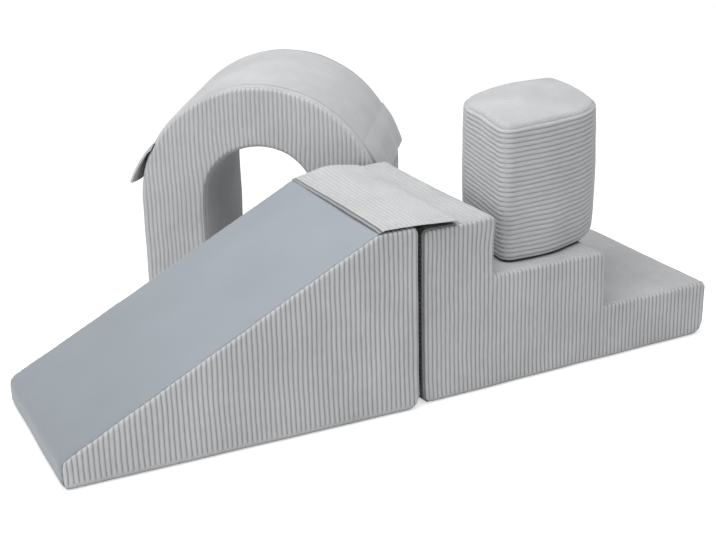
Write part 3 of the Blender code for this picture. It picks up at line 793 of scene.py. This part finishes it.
# bridging flap, sewn to the platform and lying over the slide's landing
flap = {
    "hinge": (0.09338, -0.59281, 0.4003), "length": 0.200, "width": 0.446, "margin": 0.002, "cloth": 0.005,
    "nearShorter": 0.055, "farShorter": 0.025,    # shares that the cloth draws back at its two sides
    "ribDepth": 0.0020, "sideDrop": 0.0012, "nearThin": 0.0022, "tipThin": 0.0010, "uneven": 0.0008,
    # the hem is drawn at a low pile level, dark as painted shade
    "hem": 0.0070, "hemShadedPile": 0.16, "hemStitch": 0.0022, "tipStitch": 0.0008,
    # heights of its underside over the platform: at its near edge, in its middle and at its far edge
    "along": (0, 0.006, 0.012, 0.026, 0.040, 0.060, 0.085, 0.103,
              0.123, 0.152, 0.168, 0.180, 0.186, 0.192, 0.197, 0.200),
    "nearHeights": (0.0020, 0.0068, 0.0096, 0.0108, 0.0114, 0.0122, 0.0142, 0.0150,
                    0.0153, 0.0155, 0.0158, 0.0158, 0.0154, 0.0136, 0.0114, 0.0104),
    "middleHeights": (0.0020, 0.0065, 0.0090, 0.0118, 0.0137, 0.0160, 0.0182, 0.0188,
                      0.0188, 0.0188, 0.0188, 0.0188, 0.0188, 0.0175, 0.0150, 0.0142),
    "farHeights": (0.0080, 0.0098, 0.0130, 0.0193, 0.0225, 0.0253, 0.0286, 0.0300,
                   0.0281, 0.0213, 0.0177, 0.0152, 0.0144, 0.0132, 0.0120, 0.0115),
}


# a place on the flap's underside: u from its hinge, v from its near edge
def underFlap(u, v):
    heights = [throughPoints(u, flap["along"], flap[part + "Heights"]) for part in ("near", "middle", "far")]
    base = heights[1] + (heights[0] - heights[1]) * np.exp(-v / 0.024)
    base = base + (heights[2] - heights[1]) * (v / flap["width"]) ** 2.2
    base = base + flap["uneven"] * waves(5, 0.08, u, v) * smooth(u / 0.02)
    x, y, z = flap["hinge"]
    shorter = flap["nearShorter"] + (flap["farShorter"] - flap["nearShorter"]) * v / flap["width"]
    points = np.stack((x - u * (1 - shorter), y + flap["margin"] + v, z + base), -1)
    return points, gridNormals(points, (0, 0, 1))


u, v = np.meshgrid(sheetLines(flap["length"], 0.0008), np.linspace(0, flap["width"], 61), indexing="ij")
under, normal = underFlap(u, v)
fromTip = flap["length"] - u
intoHem = flap["hem"] - fromTip
plain, edge = smooth(-intoHem / 0.0015), smooth(np.minimum(v, flap["width"] - v) / 0.003)
profile = 0.5 + 0.5 * ribShape(u / cover["pitch"])
press = -flap["ribDepth"] * (1 - profile) * plain * edge - flap["sideDrop"] * (1 - edge)
press = press - flap["hemStitch"] * bell(intoHem, 0.0013) - flap["tipStitch"] * bell(fromTip - 0.004, 0.001)
thick = flap["cloth"] + press - 0.0004
thick = thick - flap["nearThin"] * (1 - smooth(v / 0.010)) - flap["tipThin"] * (1 - smooth(fromTip / 0.006))
# painted shade: the hem drawn dark, and a darker line where it is stitched
pile = profile * plain + (1 - plain) * flap["hemShadedPile"] - 0.9 * bell(intoHem, 0.0014)
tops = under + normal * (flap["cloth"] + press)[..., None]
hinge = "bridge_flap", (flap["hinge"][0] + 0.001, -0.37, 0.4053), (flap["hinge"][0] - 0.016, -0.37, 0.4053)
piece = addSheet("bridgingFlap", tops, normal, thick, pile, clothPlace(v, u), "corduroy", "stairs",
                 ["bridge_flap"], hinge)

# hook strips follow the cloth that they are sewn to
strip = {"width": 0.040, "thickness": 0.0015, "endMargin": 0.030, "toHingeEnd": 0.145, "fromTip": 0.010}


def addHooks(name, top, normal, u, v, node, body):
    thick, pile = u * 0 + strip["thickness"], u * 0 + 0.5
    addSheet(name, top, normal, thick, pile, clothPlace(v, u), "hook_tape", body, [node])


u, v = np.meshgrid(np.linspace(strip["toHingeEnd"], strip["toHingeEnd"] + strip["width"], 17),
                   np.linspace(strip["endMargin"], flap["width"] - strip["endMargin"], 60), indexing="ij")
under, normal = underFlap(u, v)
addHooks("bridgingFlapHooks", under + normal * 0.0001, normal, u, v, "bridge_flap_hook_strip", "bridge_flap")

# side flaps of the arch
sideFlaps = {
    "left": {"sign": -1, "nearMargin": 0.0015, "nearHang": 0.35, "farHang": 0.6,
             "lip": 0.9, "lipReach": 0.028, "seed": 3},    # its near corner stands out
    "right": {"sign": 1, "nearMargin": 0.026, "nearHang": 0.15, "farHang": 0.4,
              "lip": 0.0, "lipReach": 0.07, "seed": 8},
    "length": 0.117, "start": 31.0, "cloth": 0.004, "farMargin": 0.006, "lipOut": 0.0295,
    "hem": 0.010, "hemRise": 0.0006, "ribDepth": 0.0022, "edgeDrop": 0.0004, "ripple": 0.004,
}
springing = arch["height"] - arch["radius"]


# a place on a side flap's outer face: u down from its root, v from its near edge
def onSideFlap(one, width, u, v):
    swing, down = np.radians(sideFlaps["start"]) - u / (arch["radius"] + 0.02), u / sideFlaps["length"]
    hang = one["nearHang"] + (one["farHang"] - one["nearHang"]) * smooth(v / width * 1.6)
    stand = 0.0045 * smooth(u / 0.05) + 0.0009 + u ** 2 / (2 * arch["radius"]) * hang
    lip = one["lip"] * np.exp(-v / one["lipReach"])
    stand = stand * (1 - lip) + lip * sideFlaps["lipOut"] * down ** 0.85
    ripple = sideFlaps["ripple"] * waves(one["seed"], 0.16, v) * down ** 2
    r = arch["radius"] + 2.2 * cover["fullness"] + stand + ripple
    aside, up = one["sign"] * r * np.cos(swing), springing + r * np.sin(swing)
    points = toWorld(arch, aside, up, one["nearMargin"] + v)
    return points, gridNormals(points, turned(arch, one["sign"] * 0.85, 0.5, 0)), lip * stand


for side in ("left", "right"):
    one, body = sideFlaps[side], "arch_" + side + "_flap"
    width = arch["width"] - one["nearMargin"] - sideFlaps["farMargin"]
    v, u = np.meshgrid(sheetLines(width, 0.0006), np.linspace(0, sideFlaps["length"], 25), indexing="ij")
    tops, normal, lifted = onSideFlap(one, width, u, v)
    toSide = np.minimum(v, width - v)
    edge = smooth(np.minimum(sideFlaps["length"] - u, toSide) / 0.004)
    hem = smooth((sideFlaps["hem"] - toSide) / 0.003)
    profile, ribbed = ribShape(v / cover["pitch"]), edge * (1 - hem)
    press = -sideFlaps["ribDepth"] * (1 - profile) * ribbed
    press = press - sideFlaps["edgeDrop"] * (1 - edge) + sideFlaps["hemRise"] * hem
    tops = tops + normal * press[..., None]
    thick = (sideFlaps["cloth"] + press + 2 * sideFlaps["hemRise"] * hem) * (0.25 + 0.75 * smooth(u / 0.045))
    thick = thick + lifted * (1 - smooth((u - 0.012) / 0.022))
    pile = profile * ribbed + (1 - ribbed) * 0.75
    hinge = body, tuple(tops[:, 0].mean(0)), tuple(tops[:, 4].mean(0))
    piece = addSheet(side + "ArchFlap", tops, normal, thick, pile, clothPlace(u, v), "corduroy", "arch",
                     [body], hinge)
    tip = sideFlaps["length"] - strip["fromTip"]
    v, u = np.meshgrid(np.linspace(strip["endMargin"], width - strip["endMargin"], 50),
                       np.linspace(tip - strip["width"], tip, 15), indexing="ij")
    tops, normal, lifted = onSideFlap(one, width, u, v)
    tops = tops - normal * (sideFlaps["cloth"] - 0.0001)
    addHooks(side + "ArchFlapHooks", tops, normal, u, v, "arch_" + side + "_hook_strip", body)
print("flaps made")


# points given along a zip, out of the cloth and up, brought to the block
def besideZip(one, along, out, up):
    side, away = zipSides(one)
    points = np.array(one["centre"]) + along[..., None] * side + out[..., None] * away
    points[..., 2] += up
    return points


def tubeMesh(name, path, radius, sides=6):
    ahead = unit(np.gradient(path, axis=0))
    first = unit(np.cross(ahead, np.array((0.3, 0.5, 0.8))))
    second = np.cross(ahead, first)
    angle = np.linspace(0, 2 * math.pi, sides, endpoint=False)[None, :, None]
    ring = first[:, None] * np.cos(angle) + second[:, None] * np.sin(angle)
    points = (path[:, None] + ring * radius).reshape(-1, 3)
    index = np.arange(len(points)).reshape(-1, sides)
    after = np.roll(index, -1, 1)
    quads = np.stack((index[:-1], after[:-1], after[1:], index[1:]), -1).reshape(-1, 4)
    mesh = bpy.data.meshes.new(name)
    mesh.from_pydata(points.tolist(), [], quads.tolist() + [index[0][::-1].tolist(), index[-1].tolist()])
    mesh.shade_smooth()
    return mesh


# a plate with rounded edges, cut to its first ring; a second ring is a hole in it
def plateMesh(name, rings, thickness, place):
    shape = bpy.data.curves.new(name, "CURVE")
    shape.dimensions = "2D"
    shape.fill_mode = "BOTH"
    for ring in rings:
        spline = shape.splines.new("POLY")
        spline.points.add(len(ring) - 1)
        for point, (x, y) in zip(spline.points, ring):
            point.co = (x, y, 0, 1)
        spline.use_cyclic_u = True
    shape.extrude = thickness / 2 * 0.6
    shape.bevel_depth = thickness / 2 * 0.4
    shape.bevel_resolution = 2
    holder = bpy.data.objects.new(name, shape)
    mesh = bpy.data.meshes.new_from_object(holder)
    bpy.data.objects.remove(holder)
    bpy.data.curves.remove(shape)
    mesh.transform(place)
    return mesh


def roundedBox(width, length, radius, steps=8):
    ring = []
    for quarter, (x, y) in enumerate(((1, 1), (-1, 1), (-1, -1), (1, -1))):
        for step in range(steps + 1):
            angle = math.pi / 2 * (quarter + step / steps)
            ring.append((x * (width / 2 - radius) + radius * math.cos(angle),
                         y * (length / 2 - radius) + radius * math.sin(angle)))
    return ring


slider = {
    "length": 0.014, "width": 0.010, "corner": 0.0042, "taper": 0.22, "plate": 0.0010, "overTeeth": 0.0004,
    "loop": 0.0006, "loopHalf": 0.0038, "loopOut": 0.0006, "loopRise": 0.0012,
    "pullLength": 0.024, "pullWidth": 0.007, "pullCorner": 0.0026, "pullThickness": 0.0010,
    "pullOut": 0.0020, "pullTilt": -2, "hole": 0.0034, "holeCorner": 0.0014,
}
for label, one in zips.items():
    half = one["half"]
    # woven tape with a pressed line of stitches along both edges
    along, up = np.meshgrid(np.linspace(-half, half, math.ceil(half / 0.001)),
                            np.linspace(-0.5, 0.5, 25) * zipSizes["tapeWidth"], indexing="ij")
    stitches = bell(zipSizes["tapeWidth"] / 2 - np.abs(up) - 0.003, 0.0005)
    stitches = stitches * (0.6 + 0.4 * np.sin(2 * math.pi * along / 0.003))
    weave = 0.00008 * np.sin(2 * math.pi * along / 0.0024) * (np.abs(up) > 0.003)
    thick = zipSizes["tapeThickness"] - 0.0003 * stitches + weave
    tops = besideZip(one, along, zipSizes["tapeOut"] + thick, up)
    normal = np.broadcast_to(zipSides(one)[1], tops.shape)
    addSheet(label + "ZipTape", tops, normal, thick, up * 0 + 0.6, clothPlace(along, up), "zip_tape", label)
    # the coil: a flattened helix sewn along the middle of the tape
    turns, wire = round(2 * half / zipSizes["turn"]), zipSizes["wire"]
    t = np.linspace(0, turns, turns * 10 + 1)
    out = zipSizes["teethOut"] + wire + (zipSizes["teethHeight"] / 2 - wire) * (1 + np.cos(2 * math.pi * t))
    up = (zipSizes["teethWidth"] / 2 - wire) * np.sin(2 * math.pi * t)
    mesh = tubeMesh(label + "ZipTeeth", besideZip(one, -half + t * zipSizes["turn"], out, up), wire)
    addPiece(label + "ZipTeeth", mesh, "zip_teeth", label)
    # the slider: a plate over the teeth, a loop on it and the pull hanging from the loop
    side, away = (Vector(way) for way in zipSides(one))
    origin = Vector(one["centre"]) + side * (half - zipSizes["sliderFromEnd"])
    place = Matrix.Translation(origin) @ Matrix((side, Vector((0, 0, 1)), away)).transposed().to_4x4()
    teethTop = zipSizes["teethOut"] + zipSizes["teethHeight"]
    plate = roundedBox(slider["length"], slider["width"], slider["corner"])
    plate = [(x, y * (1 - slider["taper"] * (0.5 - x / slider["length"]))) for x, y in plate]
    lift = Matrix.Translation((0, 0, teethTop + slider["overTeeth"] + slider["plate"] / 2))
    arc = np.linspace(0, math.pi, 15)
    rise = teethTop + slider["loopOut"] + slider["plate"] + slider["loopRise"] * np.sin(arc)
    bow = [place @ Vector((-slider["loopHalf"] * math.cos(angle), 0, out)) for angle, out in zip(arc, rise)]
    drop = slider["pullLength"] / 2 - slider["hole"]
    pull = roundedBox(slider["pullWidth"], slider["pullLength"], slider["pullCorner"])
    eye = [(x, y + drop) for x, y in roundedBox(slider["hole"] + 0.0008, slider["hole"], slider["holeCorner"])]
    hang = Matrix.Translation((0, -drop, teethTop + slider["pullOut"]))
    hang = hang @ Matrix.Rotation(math.radians(slider["pullTilt"]), 4, "X")
    mesh = joined(label + "ZipSlider", [
        plateMesh("plate", [plate], slider["plate"], place @ lift),
        tubeMesh("loop", np.array(bow), slider["loop"], 8),
        plateMesh("pull", [pull, eye], slider["pullThickness"], place @ hang)])
    mesh.shade_smooth()
    mesh.set_sharp_from_angle(angle=math.radians(50))
    addPiece(label + "ZipSlider", mesh, "zip_metal", label + "_zip_slider")
print("zips made")

# loop strip on the slide's landing: a napped tape, sewn down along both edges
low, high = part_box("slide_loop_strip")
along, over = np.meshgrid(np.linspace(low.x, high.x, 41), np.linspace(low.y, high.y, 131), indexing="ij")
edge = np.minimum(np.minimum(along - low.x, high.x - along), np.minimum(over - low.y, high.y - over))
rise = (high.z - low.z) * (0.7 + 0.3 * smooth(edge / 0.003)) - 0.0004 * bell(edge - 0.003, 0.0006)
tops = np.stack((along, over, low.z + rise + 0.0001 * waves(15, 0.004, along, over)), -1)
normal = np.broadcast_to(np.array((0, 0, 1.0)), tops.shape)
addSheet("slideLoopStrip", tops, normal, rise - 0.0001, rise * 0 + 0.5, clothPlace(over, along),
         "loop_tape", "slide")

# room, lights and camera
room = {
    "sky": 0.465, "keyPower": 45, "fillPower": 29, "floorGlow": 0.6,
    "lens": 70.34, "sensor": 36,
    "eye": (-1.2839138, -3.0214137, 1.3461622),
    "right": (0.90214116, -0.43091101, -0.02137835),
    "up": (0.1688217, 0.30697173, 0.93662564),
    "ahead": (0.39703975, 0.84857767, -0.34967896),
}


# the camera and what metal mirrors see white, while the blocks get the plainer light
def whiteToCamera(tree, light, white):
    rays = addNode(tree, "LightPath", {}).outputs
    seen = addNode(tree, "Math", {0: rays["Is Camera Ray"], 1: rays["Is Glossy Ray"]}, "MAXIMUM")
    seen = addNode(tree, "Math", {0: seen.outputs[0], 1: rays["Is Transmission Ray"]}, "MAXIMUM")
    return addNode(tree, "MixShader", {0: seen.outputs[0], 1: light, 2: white}).outputs[0]


world = bpy.data.worlds.new("studio")
bpy.context.scene.world = world
world.use_nodes = True
tree = world.node_tree
tree.nodes.clear()
ambient = addNode(tree, "Background", {"Color": (1, 1, 1, 1), "Strength": room["sky"]})
white = addNode(tree, "Background", {"Color": (1, 1, 1, 1), "Strength": 1})
addNode(tree, "OutputWorld", {"Surface": whiteToCamera(tree, ambient.outputs[0], white.outputs[0])})

bpy.ops.mesh.primitive_plane_add(size=30, location=(0, 0, -0.0005))
floor = bpy.context.object
floor.name = "studioFloor"
floorLook, tree, shader = newMaterial("white studio floor")
fill(tree, shader, {"Base Color": (0.8, 0.8, 0.8, 1), "Roughness": 1, "Specular IOR Level": 0})
glow = addNode(tree, "Emission", {"Strength": room["floorGlow"]})
both = addNode(tree, "AddShader", {0: shader.outputs[0], 1: glow.outputs[0]})
fill(tree, tree.nodes["Material Output"], {"Surface": whiteToCamera(tree, shader.outputs[0], both.outputs[0])})
floor.data.materials.append(floorLook)


def addLamp(name, place, target, size, power):
    lamp = bpy.data.lights.new(name, "AREA")
    lamp.shape = "DISK"
    lamp.size = size
    lamp.energy = power
    holder = newObject(name, lamp)
    holder.location = place
    holder.rotation_mode = "QUATERNION"
    holder.rotation_quaternion = (Vector(place) - Vector(target)).to_track_quat("Z", "Y")


addLamp("topSoftbox", (-0.3, -0.4, 3.0), (0, 0, 0.2), 2.6, room["keyPower"])
addLamp("sideSoftbox", (-3.3, -1.9, 1.5), (0, 0, 0.25), 2.0, room["fillPower"])

eye = bpy.data.cameras.new("photoCamera")
eye.lens = room["lens"]
eye.sensor_width = room["sensor"]
eye.clip_start, eye.clip_end = 0.05, 60
holder = newObject("photoCamera", eye)
axes = Matrix((room["right"], room["up"], [-c for c in room["ahead"]])).transposed().to_4x4()
holder.matrix_world = Matrix.Translation(room["eye"]) @ axes
bpy.context.scene.camera = holder
bpy.context.scene.view_settings.view_transform = "Standard"
print("room lit")
